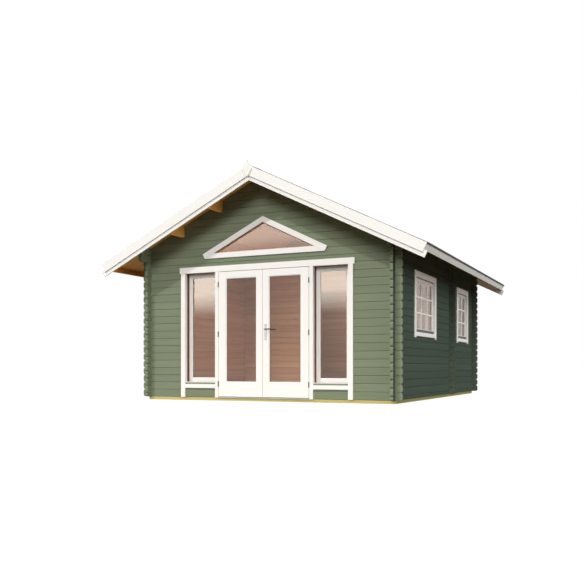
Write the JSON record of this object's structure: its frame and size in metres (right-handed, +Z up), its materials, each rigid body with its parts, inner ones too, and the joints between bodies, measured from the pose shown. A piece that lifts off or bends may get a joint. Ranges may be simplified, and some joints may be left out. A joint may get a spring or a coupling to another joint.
{
  "type": "log cabin",
  "caption": "Garden log cabin with interlocking log corners, a gable roof with deep front overhang, glazed double doors, sidelights and a triangular gable window.",
  "frame": {"origin": "centre of the footprint's bounding box, on the ground under the bearers", "axes": "+Z up, the front with the doors faces -Y, the wall with two windows faces +X"},
  "size_m": [5.2054, 5.843, 3.4501],
  "materials": {
    "painted_logs": "sage green paint on planed spruce logs",
    "natural_wood": "planed spruce, untreated and aged to orange",
    "white_paint": "warm white satin paint",
    "window_glass": "clear float glass",
    "satin_steel": "satin steel",
    "hinge_steel": "dark bronzed steel",
    "roofing_felt": "mineral-surfaced bitumen felt",
    "treated_wood": "pressure-treated timber, pale yellow-green",
    "threshold_strip": "plain aluminium"
  },
  "bodies": {
    "cabin": {"left_wall": "painted_logs", "right_wall": "painted_logs", "front_wall_left": "painted_logs", "front_wall_right": "painted_logs", "front_wall_over": "painted_logs", "back_wall": "painted_logs", "partition_left": "natural_wood", "partition_right": "natural_wood", "partition_over": "natural_wood", "inner_door_lining": "natural_wood", "purlins": "natural_wood", "roof_boards_left": "natural_wood", "roof_boards_right": "natural_wood", "floor": "natural_wood", "sidelight_jambs": "natural_wood", "gable_window_frame": "natural_wood", "front_barge_boards": "white_paint", "back_barge_boards": "white_paint", "gable_diamonds": "white_paint", "eave_fascia_left": "white_paint", "eave_fascia_right": "white_paint", "door_posts": "white_paint", "door_head": "white_paint", "sidelight_sashes": "white_paint", "front_casing": "white_paint", "gable_window_casing": "white_paint", "side_window_frames": "white_paint", "side_window_casing": "white_paint", "sidelight_glass": "window_glass", "gable_window_glass": "window_glass", "side_window_glass": "window_glass", "post_hinges": "hinge_steel", "roof_felt_left": "roofing_felt", "roof_felt_right": "roofing_felt", "bearers": "treated_wood", "door_threshold": "threshold_strip"},
    "left_leaf": {"door_left": "white_paint", "door_left_glass": "window_glass", "door_left_hinges": "hinge_steel"},
    "right_leaf": {"door_right": "white_paint", "door_right_glass": "window_glass", "door_right_hinges": "hinge_steel", "handle_plates": "satin_steel"},
    "lever": {"lever_handle": "satin_steel"}
  },
  "joints": [
    {"name": "left_leaf_hinge", "type": "hinge", "parent": "cabin", "child": "left_leaf", "pos_m": [-0.7485, -2.455, 1], "axis": [0, 0, -1], "range_deg": [0, 105]},
    {"name": "right_leaf_hinge", "type": "hinge", "parent": "cabin", "child": "right_leaf", "pos_m": [0.7485, -2.455, 1], "axis": [0, 0, 1], "range_deg": [0, 105]},
    {"name": "lever_turn", "type": "hinge", "parent": "right_leaf", "child": "lever", "pos_m": [0.0525, -2.429, 1.066], "axis": [0, 1, 0], "range_deg": [0, 45], "stiffness_Nm_per_rad": 1.2, "springref_deg": -28.65}
  ]
}
